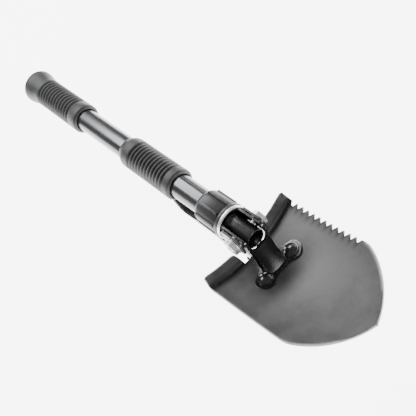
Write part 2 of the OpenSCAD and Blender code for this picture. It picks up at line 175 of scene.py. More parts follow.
tree.links.new(add_node(tree, "ShaderNodeMix", {
    0: painted_groove_shade.outputs["Fac"], 6: highlight_and_wear.outputs[2], 7: linear("#090909")},
    data_type="RGBA").outputs[2], shader.inputs["Base Color"])
tree.links.new(add_node(tree, "ShaderNodeMapRange", {
    "Value": grain.outputs[0], 3: 0.44, 4: 0.6}).outputs[0], shader.inputs["Roughness"])
tree.links.new(add_node(tree, "ShaderNodeBump", {
    "Height": grain.outputs[0], "Strength": 0.35, "Distance": 0.06 * mm}).outputs[0],
    shader.inputs["Normal"])

GROOVES = 12
LIP = 3.0              # radius of the front lip
BUTT_ROUND = 4.5       # radius of the butt's edge
FLARE = 19.0           # length over which the butt's flare runs out
UPPER_GROOVE, UPPER_PITCH, UPPER_DEPTH = 30.0, 5.2, 1.5
LOWER_GROOVE, LOWER_PITCH, LOWER_DEPTH = 18.5, 4.6, 2.6
GRIP_SHOULDER = 9.0    # length of the lower grip's rear shoulder
tube_r = reach("upper_tube")[2]
land_r = reach("lower_grip")[2]


def ring_grooves(first, pitch, depth, crest):
    """The wavy outline of the ring grooves. A larger crest leaves the lands narrower."""
    points = []
    for i in range(GROOVES):
        for k in range(9):
            x = first + (i + k / 8 - 0.5) * pitch
            dip = (0.5 - 0.5 * cos(2 * pi * k / 8)) ** crest
            if k < 8 or i == GROOVES - 1:
                points.append((x, land_r - depth * dip))
    return points


def front_lip(end):
    """The rounded lip and the sunk mouth round the tube."""
    return (arc(end - LIP, land_r - LIP, LIP, 90, 0, 8)
            + [(end - 0.3, land_r - LIP - 0.4), (end - 2.2, tube_r + 0.35), (end - 6, tube_r + 0.02)])


def shade_grooves(bm, first, pitch, depth, crest_highlight):
    """Marks painted shade by each point's depth below the lands, and a painted highlight on the
    crests.
    """
    painted_groove_shade = bm.verts.layers.float.new("painted_groove_shade")
    crest = bm.verts.layers.float.new("crest")
    for v in bm.verts:
        sunk = min(max((land_r - hypot(v.co.y, v.co.z) / mm) / depth, 0), 1)
        # Painted shade: the deeper a point lies below the lands, the darker
        v[painted_groove_shade] = sqrt(sunk)
        if first < v.co.x / mm < first + (GROOVES - 1) * pitch:
            # Painted highlight on the crests, paler the nearer they stand to the lands
            v[crest] = crest_highlight * max(1 - 3 * sunk, 0)


start, end, flare_r = reach("upper_grip")
bm = bmesh.new()
flare = [(BUTT_ROUND + FLARE * i / 10, land_r + (flare_r - land_r) * (1 + cos(pi * i / 10)) / 2)
         for i in range(11)]
turn_outline(bm, [(0.6, 0), (0.6, 9.5), (0, 11)]
             + arc(BUTT_ROUND, flare_r - BUTT_ROUND, BUTT_ROUND, 180, 100, 8) + flare
             + ring_grooves(UPPER_GROOVE, UPPER_PITCH, UPPER_DEPTH, 0.8) + front_lip(end)
             + [(4, tube_r + 0.02), (4, 0)], steps=112)
shade_grooves(bm, UPPER_GROOVE, UPPER_PITCH, UPPER_DEPTH, 0.45)
finish_piece("upper_grip", bm, moulded_rubber, "upper_handle", ["upper_grip"])

start, end, _ = reach("lower_grip")
bm = bmesh.new()
shoulder = [(start + GRIP_SHOULDER * i / 8, tube_r + 0.8 + (land_r - tube_r - 0.8) * sin(pi * i / 16))
            for i in range(9)]
first_groove = start + LOWER_GROOVE
turn_outline(bm, [(start + 6, tube_r + 0.1), (start + 0.2, tube_r + 0.1), (start, tube_r + 0.4)]
             + shoulder + ring_grooves(first_groove, LOWER_PITCH, LOWER_DEPTH, 0.7) + front_lip(end)
             + [(start + 12, tube_r + 0.02), (start + 6, tube_r + 0.1)], steps=112)
shade_grooves(bm, first_groove, LOWER_PITCH, LOWER_DEPTH, 0.9)
finish_piece("lower_grip", bm, moulded_rubber, "lower_handle", ["lower_grip"])

# ---- Handle tubes ----
# Two lengths of drawn steel tube, cut square and chamfered, in a smooth dark grey lacquer.
# The lower one carries the thread sleeve at its front.


def pipe_outline(start, end, outer, bore, chamfer=0.4):
    """The closed outline of a tube's wall with its outer corners chamfered."""
    return [(start, bore), (start, outer - chamfer), (start + chamfer, outer),
            (end - chamfer, outer), (end, outer - chamfer), (end, bore), (start, bore)]


# Lacquered steel tube: a smooth, fairly sharp gloss over dark metal, with a faint drawn grain
# along the tube and small changes of gloss from handling
lacquered_tube, tree, shader, place = start_material(
    "lacquered_tube", Metallic=0.85, Roughness=0.3, Coat_Weight=0.5, Coat_Roughness=0.12)
along = add_node(tree, "ShaderNodeMapping", {"Vector": place, "Scale": (0.03, 1, 1)})
drawn = add_node(tree, "ShaderNodeTexNoise", {
    "Vector": along.outputs[0], "Scale": 1 / (0.7 * mm), "Detail": 3})
handled = add_node(tree, "ShaderNodeTexNoise", {"Vector": place, "Scale": 1 / (25 * mm), "Detail": 5})
tree.links.new(add_node(tree, "ShaderNodeMix", {
    0: handled.outputs[0], 6: linear("#47484a"), 7: linear("#525355")},
    data_type="RGBA").outputs[2], shader.inputs["Base Color"])
tree.links.new(add_node(tree, "ShaderNodeMapRange", {
    "Value": handled.outputs[0], 1: 0.3, 2: 0.7, 3: 0.28, 4: 0.34}).outputs[0],
    shader.inputs["Roughness"])
tree.links.new(add_node(tree, "ShaderNodeBump", {
    "Height": drawn.outputs[0], "Strength": 0.04, "Distance": 0.02 * mm}).outputs[0],
    shader.inputs["Normal"])

TUBE_BORE = tube_r - 1.5
for name, body in (("upper_tube", "upper_handle"), ("lower_tube", "lower_handle")):
    start, end, _ = reach(name)
    bm = bmesh.new()
    turn_outline(bm, pipe_outline(start, end, tube_r, TUBE_BORE), steps=128)
    finish_piece(name, bm, lacquered_tube, body, [name])

# ---- Handle joint ----
# A turned steel stud in the upper tube screws into a socket in the lower one, each held by a
# cross pin, with a thin washer between the tubes. All of it is inside until it is unscrewed.

# Turned steel: bright, with fine rings left by the tool
turned_steel, tree, shader, place = start_material("turned_steel", Metallic=1.0, Roughness=0.32)
shader.inputs["Base Color"].default_value = linear("#a9abad")
rings = add_node(tree, "ShaderNodeTexWave", {
    "Vector": place, "Scale": 0.02 / (0.6 * mm), "Distortion": 0.4, "Detail": 1},
    wave_type="BANDS", bands_direction="X")
highlight_and_wear = add_node(tree, "ShaderNodeTexNoise", {"Vector": place, "Scale": 1 / (6 * mm), "Detail": 4})
tree.links.new(add_node(tree, "ShaderNodeMapRange", {
    "Value": highlight_and_wear.outputs[0], 1: 0.3, 2: 0.7, 3: 0.24, 4: 0.42}).outputs[0],
    shader.inputs["Roughness"])
tree.links.new(add_node(tree, "ShaderNodeBump", {
    "Height": rings.outputs[0], "Strength": 0.2, "Distance": 0.02 * mm}).outputs[0],
    shader.inputs["Normal"])

# Moulded plastic: the plug inside the butt, an even dark satin with a faint grain
moulded_plastic, tree, shader, place = start_material(
    "moulded_plastic", Roughness=0.45, IOR=1.46)
grain = add_node(tree, "ShaderNodeTexNoise", {"Vector": place, "Scale": 1 / (0.8 * mm), "Detail": 2})
tree.links.new(add_node(tree, "ShaderNodeMix", {
    0: grain.outputs[0], 6: linear("#242527"), 7: linear("#2f3032")},
    data_type="RGBA").outputs[2], shader.inputs["Base Color"])

# These keep their CAD meshes, which are plain turned shapes
for name in ("joint_stud", "stud_pin", "joint_washer", "joint_socket", "socket_pin",
             "hinge_tube_pin", "spacer_sleeve", "cheek_washers", "end_plug"):
    part = frame["nodes"][name]
    part.data.materials.clear()
    part.data.materials.append(moulded_plastic if name == "end_plug" else turned_steel)

# ---- Thread sleeve ----
# A steel sleeve fixed on the tube's front. The lock collar runs on its thread, and its bright
# front face shows inside the collar's ring.

# Zinc-plated steel: pale and bright, slightly cloudy, with a soft gloss
zinc_plate, tree, shader, place = start_material("zinc_plate", Metallic=0.8, Roughness=0.32)
cloud = add_node(tree, "ShaderNodeTexNoise", {"Vector": place, "Scale": 1 / (3 * mm), "Detail": 5})
tree.links.new(add_node(tree, "ShaderNodeMix", {
    0: cloud.outputs[0], 6: linear("#e2e3e4"), 7: linear("#f4f4f4")},
    data_type="RGBA").outputs[2], shader.inputs["Base Color"])
tree.links.new(add_node(tree, "ShaderNodeMapRange", {
    "Value": cloud.outputs[0], 1: 0.3, 2: 0.7, 3: 0.3, 4: 0.38}).outputs[0],
    shader.inputs["Roughness"])
tree.links.new(add_node(tree, "ShaderNodeBump", {
    "Height": cloud.outputs[0], "Strength": 0.1, "Distance": 0.05 * mm}).outputs[0],
    shader.inputs["Normal"])

THREAD_PITCH = 1.6
THREAD_DEPTH = 0.75
start, end, thread_r = reach("thread_sleeve")
turns = int((end - start - 3) / THREAD_PITCH)
crests = []
for i in range(turns):
    x = end - 1.5 - i * THREAD_PITCH
    crests += [(x, thread_r - THREAD_DEPTH), (x - 0.55, thread_r), (x - 0.8, thread_r),
               (x - 1.35, thread_r - THREAD_DEPTH)]
bm = bmesh.new()
turn_outline(bm, [(end, tube_r), (end, thread_r - 0.7), (end - 0.6, thread_r - 0.1),
                  (end - 1, thread_r - 0.1)] + crests
             + [(start, thread_r - THREAD_DEPTH), (start, tube_r), (end, tube_r)])
finish_piece("thread_sleeve", bm, zinc_plate, "lower_handle", ["thread_sleeve"],
             sharp=20)

# ---- Lock collar ----
# A turned alloy nut, anodised dark grey, with a rounded rear shoulder, eight long grip ribs
# and a flange at the front. It screws forward against the bracket's heels.

# Anodised alloy: an even dark grey metal with a soft sheen and fine turning rings
anodised_alloy, tree, shader, place = start_material(
    "anodised_alloy", Metallic=0.6, Roughness=0.42, Coat_Weight=0.1, Coat_Roughness=0.2)
rings = add_node(tree, "ShaderNodeTexWave", {
    "Vector": place, "Scale": 0.02 / (0.5 * mm), "Distortion": 0.6, "Detail": 2},
    wave_type="BANDS", bands_direction="X")
tone = add_node(tree, "ShaderNodeTexNoise", {"Vector": place, "Scale": 1 / (9 * mm), "Detail": 4})
tree.links.new(add_node(tree, "ShaderNodeMix", {
    0: tone.outputs[0], 6: linear("#3b3b3c"), 7: linear("#484849")},
    data_type="RGBA").outputs[2], shader.inputs["Base Color"])
tree.links.new(add_node(tree, "ShaderNodeMapRange", {
    "Value": tone.outputs[0], 1: 0.3, 2: 0.7, 3: 0.38, 4: 0.48}).outputs[0],
    shader.inputs["Roughness"])
tree.links.new(add_node(tree, "ShaderNodeBump", {
    "Height": rings.outputs[0], "Strength": 0.12, "Distance": 0.02 * mm}).outputs[0],
    shader.inputs["Normal"])

RIBS = 8
RIB_WIDTH = 2.4
RIB_TURN = 18.0        # degrees from the top to the first rib
REAR_ROUND = 4.5       # radius of the rear shoulder
FLANGE = 3.2           # length of the front flange
BACK_WALL = 4.0        # behind the threaded bore
collar_start, collar_end, _ = reach("collar_nut")
ring_end = reach("lock_ring")[1]
collar_r = reach("lock_ring")[2]
rib_r = collar_r + 0.9
flange_r = collar_r + 0.6
body_r = collar_r - 0.6
bore_r = thread_r + 0.1
bm = bmesh.new()
turn_outline(bm, [(collar_start, tube_r + 0.1), (collar_start, tube_r + 1.0)]
             + arc(collar_start + REAR_ROUND, body_r - REAR_ROUND, REAR_ROUND, 160, 90, 8)
             + [(collar_end - FLANGE - 1.2, body_r), (collar_end - FLANGE - 0.6, body_r - 0.4),
                (collar_end - FLANGE - 0.1, body_r - 0.3)]
             + arc(collar_end - FLANGE + 0.7, flange_r - 0.7, 0.7, 150, 90, 4)
             + arc(collar_end - 0.5, flange_r - 0.5, 0.5, 90, 0, 4)
             + [(collar_end, bore_r), (collar_start + BACK_WALL, bore_r),
                (collar_start + BACK_WALL, tube_r + 0.1), (collar_start, tube_r + 0.1)], steps=128)
rib_start = collar_start + REAR_ROUND - 0.5
rib_end = collar_end - FLANGE - 2.2
for i in range(RIBS):
    old = set(bm.verts)
    bmesh.ops.create_cube(bm, size=1.0, matrix=Matrix.Translation(
        (0.5 * (rib_start + rib_end) * mm, 0, (rib_r - 2) * mm))
        @ Matrix.Diagonal(((rib_end - rib_start) * mm, RIB_WIDTH * mm, 4 * mm, 1)))
    block = [v for v in bm.verts if v not in old]
    top = [e for e in {e for v in block for e in v.link_edges}
           if min(v.co.z for v in e.verts) > (rib_r - 0.5) * mm]
    bmesh.ops.bevel(bm, geom=top, offset=0.5 * mm, offset_type="OFFSET", segments=3, profile=0.5,
                    affect="EDGES", material=-1)
    block = [v for v in bm.verts if v not in old]
    bmesh.ops.rotate(bm, verts=block, cent=(0, 0, 0),
                     matrix=Matrix.Rotation(radians(RIB_TURN + 360 / RIBS * i), 3, "X"))
finish_piece("collar_nut", bm, anodised_alloy, "collar", ["collar_nut"], sharp=35)

# A bright ring pressed in the collar's front, polished, with a wide chamfer that flashes
bm = bmesh.new()
turn_outline(bm, [(collar_end, bore_r), (collar_end, collar_r - 0.1), (collar_end + 0.2, collar_r),
                  (ring_end - 0.9, collar_r), (ring_end, collar_r - 0.75), (ring_end, bore_r + 0.3),
                  (ring_end - 0.3, bore_r), (collar_end, bore_r)], steps=128)
finish_piece("lock_ring", bm, zinc_plate, "collar_seat", ["lock_ring"], sharp=25)

# ---- Hinge tube ----
# A shorter, narrower steel tube pinned inside the handle tube. The pivot bolt crosses it, and
# its open end shows ahead of the bolt. Gloss black enamel.

# Gloss enamel: near black, with sharp reflections, slight orange peel and faint changes of tone and
# gloss
gloss_enamel, tree, shader, place = start_material(
    "gloss_enamel", Roughness=0.16, IOR=1.55, Coat_Weight=0.6, Coat_Roughness=0.06)
peel = add_node(tree, "ShaderNodeTexNoise", {"Vector": place, "Scale": 1 / (1.6 * mm), "Detail": 2})
tone = add_node(tree, "ShaderNodeTexNoise", {"Vector": place, "Scale": 1 / (12 * mm), "Detail": 5})
tree.links.new(add_node(tree, "ShaderNodeMix", {
    0: tone.outputs[0], 6: linear("#0b0b0c"), 7: linear("#141415")},
    data_type="RGBA").outputs[2], shader.inputs["Base Color"])
tree.links.new(add_node(tree, "ShaderNodeMapRange", {
    "Value": tone.outputs[0], 1: 0.3, 2: 0.7, 3: 0.2, 4: 0.32}).outputs[0],
    shader.inputs["Roughness"])
tree.links.new(add_node(tree, "ShaderNodeBump", {
    "Height": peel.outputs[0], "Strength": 0.06, "Distance": 0.03 * mm}).outputs[0],
    shader.inputs["Normal"])

start, end, _ = reach("hinge_tube")
low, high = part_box("spacer_sleeve")
hinge_bore = high.y / mm
hinge_r = hinge_bore + 1.5
sleeve_end = reach("thread_sleeve")[1]
bm = bmesh.new()
turn_outline(bm, [(start, hinge_bore), (start, TUBE_BORE - 0.02),
                  (sleeve_end - 3.0, TUBE_BORE - 0.02), (sleeve_end - 3.0, hinge_r),
                  (end - 0.5, hinge_r)] + arc(end - 0.5, hinge_r - 0.5, 0.5, 90, 0, 4)
             + [(end, hinge_bore + 0.4), (end - 0.4, hinge_bore), (start, hinge_bore)], steps=112)
finish_piece("hinge_tube", bm, gloss_enamel, "lower_handle", ["hinge_tube"])

# ---- Pivot bolt, nut and washers ----
# A zinc-plated hexagon bolt through the hinge tube, the bracket's cheeks and the pick's fork.
# The head is on the saw side, and the nut and the bolt's threaded end on the other.
ACROSS_CORNERS = 15.0
HEX = 4.6              # thickness of the head and of the nut
BOLT_R = 4.0
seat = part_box("pivot_bolt")[1].y / mm - HEX
across = Matrix.Translation(pivot) @ Matrix.Rotation(pi / 2, 4, "Z")


def hexagon(bm, side):
    """A hexagon with its outer corners chamfered, on the given side of the pivot."""
    old = set(bm.verts)
    bmesh.ops.create_cone(bm, cap_ends=True, segments=6, radius1=ACROSS_CORNERS / 2 * mm,
                          radius2=ACROSS_CORNERS / 2 * mm, depth=HEX * mm)
    block = [v for v in bm.verts if v not in old]
    rim = [e for e in {e for v in block for e in v.link_edges}
           if min(v.co.z for v in e.verts) > 0]
    bmesh.ops.bevel(bm, geom=rim, offset=0.7 * mm, offset_type="OFFSET", segments=2, profile=0.5,
                    affect="EDGES", material=-1)
    block = [v for v in bm.verts if v not in old]
    lift = Matrix.Translation(pivot + Vector((0, side * (seat + HEX / 2) * mm, 0)))
    bmesh.ops.transform(bm, verts=block, matrix=lift @ Matrix.Rotation(-side * pi / 2, 4, "X"))


bm = bmesh.new()
hexagon(bm, 1)
turn_outline(bm, [(-seat - HEX - 1, 0), (-seat - HEX - 1, BOLT_R - 0.8), (-seat - HEX - 0.2, BOLT_R),
                  (seat + 0.2, BOLT_R), (seat + 0.2, 0)], steps=48, place=across)
finish_piece("pivot_bolt", bm, zinc_plate, "lower_handle", ["pivot_bolt"])

bm = bmesh.new()
hexagon(bm, -1)
turn_outline(bm, [(-seat - HEX - 0.05, BOLT_R + 0.2), (-seat - HEX - 0.05, BOLT_R + 1.4),
                  (-seat - HEX - 0.25, BOLT_R + 1.2), (-seat - HEX - 0.25, BOLT_R + 0.3),
                  (-seat - HEX - 0.05, BOLT_R + 0.2)], steps=48, place=across)
finish_piece("pivot_nut", bm, zinc_plate, "lower_handle", ["pivot_nut"], edge=0.25)

bm = bmesh.new()
low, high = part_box("pivot_washers")
for side in (-1, 1):
    near, far = sorted((side * (seat - 0.8), side * seat))
    turn_outline(bm, pipe_outline(near, far, high.z / mm, BOLT_R + 0.05, 0.2), steps=64, place=across)
finish_piece("pivot_washers", bm, zinc_plate, "lower_handle", ["pivot_washers"])

# ---- Blade ----
# One pressing of 2 mm steel, dished across and swept along, with foot steps folded up at the
# rear and saw teeth ground into one edge. Coated in satin grey.
SWEEP_R = 365.0        # of the curve along the blade
DISH_R = 114.0         # of the curve across it
SWEEP_BACK = 29.6      # from the bolt back to where the sweep runs level
DROP = 38.7            # of the face at the crease, below the bolt
CREASE = -5.0          # where the foot steps fold up
SHEET = 2.0
HALF = 53.5            # half the width at the crease
TAPER = 1.9            # that each side draws in
STRAIGHT = 88.0        # where the straight sides end
REACH = (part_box("blade")[1].x - pivot.x) / mm
FRONT_R = 90.0         # of the curved front edges
TOOTH_FIRST = 11.1     # the first tooth's tip
TOOTH_PITCH = 7.04
TEETH = 10
TOOTH_DEPTH = 4.4
STEP_LEAN = 25.0       # degrees of the foot steps from upright
STEP_HEIGHT = 12.5
BEND = 3.2             # radius of the fold
NOTCH = 15.8           # half the gap between the foot steps
BAND = 10.0            # the outer strip that keeps its width and carries the teeth
SWEEP_Z = SWEEP_R - DROP - (SWEEP_R - sqrt(SWEEP_R ** 2 - (CREASE + SWEEP_BACK) ** 2))


def dish_z(x, y):
    """Height of the dished face, with x and y from the bolt, in mm."""
    ring = SWEEP_R - DISH_R + sqrt(DISH_R ** 2 - y * y)
    return SWEEP_Z - sqrt(ring ** 2 - (x + SWEEP_BACK) ** 2)


chord = hypot(REACH - STRAIGHT, HALF - TAPER)
bow = sqrt(FRONT_R ** 2 - chord ** 2 / 4)
arc_x = (REACH + STRAIGHT) / 2 - (HALF - TAPER) / chord * bow
arc_y = (HALF - TAPER) / 2 - (REACH - STRAIGHT) / chord * bow


def half_width(x):
    """Half the blade's width, with its shoulder corner softened."""
    straight = HALF - TAPER * x / STRAIGHT
    if x < arc_x:
        return straight
    front = arc_y + sqrt(max(FRONT_R ** 2 - (x - arc_x) ** 2, 0))
    soft = 0.9
    low = min(straight, front)
    return max(low - soft * log(exp((low - straight) / soft) + exp((low - front) / soft)), 0.7)


# Satin coating on pressed steel: mid grey, low gloss, cloudy where the coat is thicker, with
# short rubbed marks along the blade and a paler ground line at the edges, and painted shade
# that darkens the fold of the foot steps and the tooth valleys
satin_coat, tree, shader, place = start_material(
    "satin_coat", Metallic=0.5, Roughness=0.44, Coat_Weight=0.12, Coat_Roughness=0.3)
cloud = add_node(tree, "ShaderNodeTexNoise", {
    "Vector": place, "Scale": 1 / (22 * mm), "Detail": 6, "Roughness": 0.6})
fine = add_node(tree, "ShaderNodeTexNoise", {"Vector": place, "Scale": 1 / (0.9 * mm), "Detail": 3})
rub_place = add_node(tree, "ShaderNodeMapping", {"Vector": place, "Scale": (0.06, 1, 0.3)})
rubs = add_node(tree, "ShaderNodeTexNoise", {
    "Vector": rub_place.outputs[0], "Scale": 1 / (1.8 * mm), "Detail": 4})
tint = add_node(tree, "ShaderNodeMapRange", {"Value": cloud.outputs[0], 1: 0.32, 2: 0.68})
coat = add_node(tree, "ShaderNodeMix", {
    0: tint.outputs[0], 6: linear("#424243"), 7: linear("#555556")}, data_type="RGBA")
marks = add_node(tree, "ShaderNodeMapRange", {"Value": rubs.outputs[0], 1: 0.66, 2: 0.85, 4: 0.15})
rubbed = add_node(tree, "ShaderNodeMix", {
    0: marks.outputs[0], 6: coat.outputs[2], 7: linear("#86878a")}, data_type="RGBA")
ground = add_node(tree, "ShaderNodeAttribute", attribute_name="ground")
edge_share = add_node(tree, "ShaderNodeMath", {0: ground.outputs["Fac"], 1: 0.6}, operation="MULTIPLY")
edged = add_node(tree, "ShaderNodeMix", {
    0: edge_share.outputs[0], 6: rubbed.outputs[2], 7: linear("#a2a3a3")}, data_type="RGBA")
# Painted shade: near black in the fold of the foot steps and in the tooth valleys
crease = add_node(tree, "ShaderNodeAttribute", attribute_name="crease")
tree.links.new(add_node(tree, "ShaderNodeMix", {
    0: crease.outputs["Fac"], 6: edged.outputs[2], 7: linear("#161617")},
    data_type="RGBA").outputs[2], shader.inputs["Base Color"])
tree.links.new(add_node(tree, "ShaderNodeMapRange", {
    "Value": cloud.outputs[0], 1: 0.3, 2: 0.7, 3: 0.4, 4: 0.54}).outputs[0],
    shader.inputs["Roughness"])
tree.links.new(add_node(tree, "ShaderNodeBump", {
    "Height": fine.outputs[0], "Strength": 0.18, "Distance": 0.05 * mm}).outputs[0],
    shader.inputs["Normal"])

# Stations along the blade from the fold to the tip, and rows from the middle to the edge
arc_start = CREASE + BEND * 0.637
flat_stations = [arc_start, -0.5, 2.0]
flat_stations += [TOOTH_FIRST + (k / 2 - 1) * TOOTH_PITCH for k in range(2 * TEETH + 3)]
x = flat_stations[-1]
while x < REACH - 4.5:
    x += 2.5
    flat_stations.append(x)
flat_stations += [REACH - 2.0, REACH - 0.9, REACH - 0.25, REACH]
inner_rows = [0, 5, 10, NOTCH, 16.6, 17.6, 18.8, 20.8, 25, 30, 35, 40, HALF - BAND]
band_rows = [0.2, 0.4, 0.55, 0.7, 0.85, 1.0]
rows = [-HALF + BAND * (1 - f) for f in reversed(band_rows)] + [-y for y in reversed(inner_rows[1:])]
rows = rows + inner_rows + [HALF - BAND * (1 - f) for f in band_rows]
FOLD = 65.0
fold_columns = [("step", t) for t in (1.0, 0.93, 0.8, 0.6, 0.4, 0.2, 0.0)]
fold_columns += [("bend", FOLD * f) for f in (0.8, 0.6, 0.4, 0.2)]
columns = fold_columns + [("flat", x) for x in flat_stations]


def row_at(x, row):
    """The y of a row at station x: the outer band keeps its width, the rest is scaled."""
    width = half_width(x)
    band = min(BAND, width * 0.35)
    inner = HALF - BAND
    side = 1 if row >= 0 else -1
    if abs(row) <= inner:
        return side * abs(row) / inner * (width - band)
    return side * (width - band + (abs(row) - inner) / BAND * band)


def step_top(row):
    """The (y, height) of the foot step's top edge over a row, with round corners."""
    y, r = abs(row), 4.0
    if y <= NOTCH + 1 + r:
        a = radians(180 - 90 * (y - NOTCH) / (1 + r))
        return NOTCH + 1 + r + r * cos(a), STEP_HEIGHT - r + r * sin(a)
    turn = HALF - 2 - r
    if y >= turn:
        a = radians(90 - 80 * (y - turn) / (HALF - turn))
        return turn + r * cos(a), STEP_HEIGHT - r + r * sin(a)
    return y, STEP_HEIGHT


def sheet_point(column, row):
    """A point of the dished face or of the foot step, from the bolt, in mm."""
    kind, value = column
    if kind == "flat":
        y = row_at(value, row)
        return Vector((value, y, dish_z(value, y)))
    side = 1 if row >= 0 else -1
    y = side * min(abs(row), HALF)
    turn = radians(value if kind == "bend" else FOLD)
    start = Vector((arc_start, y, dish_z(arc_start, y)))
    start += Vector((-BEND * sin(turn), 0, BEND * (1 - cos(turn))))
    if kind == "step":
        top_y, top = step_top(row)
        rise = (top - 1.9) * value
        start += Vector((-sin(radians(STEP_LEAN)) * rise, side * (top_y - abs(y)) * value,
                         cos(radians(STEP_LEAN)) * rise))
    return start


bm = bmesh.new()
shade = bm.verts.layers.float.new("ground")
painted_crease_shade = bm.verts.layers.float.new("crease")
bmesh.ops.create_grid(bm, x_segments=len(columns) - 1, y_segments=len(rows) - 1, size=0.5)
grid = {}
for v in bm.verts:
    i = round((v.co.x + 0.5) * (len(columns) - 1))
    j = round((v.co.y + 0.5) * (len(rows) - 1))
    grid[i, j] = v
assert len(grid) == len(columns) * len(rows)
for (i, j), v in grid.items():
    v.co = pivot + sheet_point(columns[i], rows[j]) * mm
in_notch = {v for (i, j), v in grid.items() if i <= len(fold_columns) and abs(rows[j]) <= NOTCH}
cut = [face for face in bm.faces if in_notch.issuperset(face.verts)]
bmesh.ops.delete(bm, geom=cut, context="FACES")
bm.normal_update()
grid = {key: v for key, v in grid.items() if v.is_valid}
under = bmesh.ops.duplicate(bm, geom=bm.verts[:] + bm.edges[:] + bm.faces[:])
twin = under["vert_map"]
for v in grid.values():
    twin[v].co = v.co - v.normal * SHEET * mm
bmesh.ops.reverse_faces(bm, faces=[f for f in under["geom"] if isinstance(f, bmesh.types.BMFace)])
last = len(rows) - 1
for (i, j), v in grid.items():
    kind, x = columns[i]
    share = (abs(rows[j]) - (HALF - BAND)) / BAND
    toothed = kind == "flat" and j > last // 2 and share > 0 and x < flat_stations[25]
    place_in_tooth = (x - TOOTH_FIRST) / (TOOTH_PITCH / 2) if kind == "flat" else 0
    valley = toothed and round(place_in_tooth) % 2 == 1
    # Painted shade in the fold, strongest at the bend and fading along the step and the face
    inside = 1 - abs(x - arc_start) / 7 if kind == "flat" else 1 - x * 2.5 * (kind == "step")
    v[painted_crease_shade] = 0.85 * min(max(inside, 0), 1)
    if valley:
        down = v.normal * (1.8 * share * mm)
        pull = Vector((0, TOOTH_DEPTH * share * mm, 0))
        v.co -= pull + down
        twin[v].co -= pull
        # Painted shade deepens towards the edge in each tooth valley
        v[painted_crease_shade] = 0.8 * share
    elif kind == "flat" and share > 0.9 and x > 84:
        v.co -= v.normal * 0.5 * mm
        v[shade] = 1.0
    elif kind == "flat" and share > 0.9:
        v[shade] = 0.5
    twin[v][shade] = v[shade]
rim = [e for e in bm.edges if e.is_boundary]
bmesh.ops.bridge_loops(bm, edges=rim)
finish_piece("blade", bm, satin_coat, "blade", ["blade"], sharp=24, edge=0.25)

# ---- Blade bracket ----
# A black enamelled pressing riveted to the dished face. Two cheeks stand along the hinge tube
# and join a foot with two round ears, and a bent web closes the channel ahead of the tube.
low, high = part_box("blade_bracket")
CHEEK_IN = hinge_r + 0.3
CHEEK = 1.9
CHEEK_TOP = high.z / mm
HEEL_R = 18.3          # of the round heels that face the collar
CHEEK_FRONT = 14.5
EAR_X, EAR_Y, EAR_R = 26.4, 17.0, 9.7
FOOT_REAR, FOOT_FRONT, WAIST = -5.0, 31.8, 13.0
cheek_out = CHEEK_IN + CHEEK


def plate(bm, outline, thickness, place):
    """A flat plate from its outline, given thickness along its own Z and then placed."""
    old = set(bm.verts)
    face = bm.faces.new([bm.verts.new((x * mm, y * mm, 0)) for x, y in outline])
    solid = bmesh.ops.extrude_face_region(bm, geom=[face])
    moved = [v for v in solid["geom"] if isinstance(v, bmesh.types.BMVert)]
    bmesh.ops.translate(bm, verts=moved, vec=(0, 0, thickness * mm))
    made = [v for v in bm.verts if v not in old]
    bmesh.ops.transform(bm, matrix=place, verts=made)
    return made


bm = bmesh.new()
heel_from = 180 - degrees(asin(CHEEK_TOP / HEEL_R))
cheek = (arc(0, 0, HEEL_R, heel_from, 205, 10)
         + [(-11, -13), (-5, -16), (-2, -18), (1.5, -22), (3.5, -29), (3.5, -38),
            (CHEEK_FRONT, -35)]
         + arc(CHEEK_FRONT - 4, CHEEK_TOP - 4, 4, 0, 90, 8))
for side in (-1, 1):
    place = Matrix.Translation(pivot + Vector((0, side * cheek_out * mm if side > 0
                                               else -CHEEK_IN * mm, 0)))
    plate(bm, cheek, CHEEK, place @ Matrix.Rotation(pi / 2, 4, "X"))

# The foot, cut fine enough to follow the dish, then given its thickness
old = set(bm.verts)
ear = arc(EAR_X, EAR_Y, EAR_R, 130, -8, 16)
outline = ([(FOOT_REAR, cheek_out), (WAIST - 3, cheek_out), (WAIST + 1.5, cheek_out + 1.2)]
           + ear + [(FOOT_FRONT + 1, 10), (FOOT_FRONT, 7)])
outline = outline + [(x, -y) for x, y in reversed(outline)]
face = bm.faces.new([bm.verts.new((x * mm, y * mm, 0)) for x, y in outline])
bmesh.ops.triangulate(bm, faces=[face])
slices = [((0, k * 4.5 * mm, 0), (0, 1, 0)) for k in range(-5, 6)]
slices += [(((k * 5 - 3) * mm, 0, 0), (1, 0, 0)) for k in range(8)]
for spot, facing in slices:
    made = [g for g in bm.verts[:] + bm.edges[:] + bm.faces[:]
            if (g if isinstance(g, bmesh.types.BMVert) else g.verts[0]) not in old]
    bmesh.ops.bisect_plane(bm, geom=made, plane_co=spot, plane_no=facing, dist=0.001 * mm)
foot = [v for v in bm.verts if v not in old]
foot_faces = list({f for v in foot for f in v.link_faces})
solid = bmesh.ops.extrude_face_region(bm, geom=foot_faces)
lifted = {v for v in solid["geom"] if isinstance(v, bmesh.types.BMVert)}
for v in [v for v in bm.verts if v not in old]:
    x, y = v.co.x / mm, v.co.y / mm
    z = dish_z(x, y) + (CHEEK if v in lifted else 0.02)
    v.co = pivot + Vector((x, y, z)) * mm

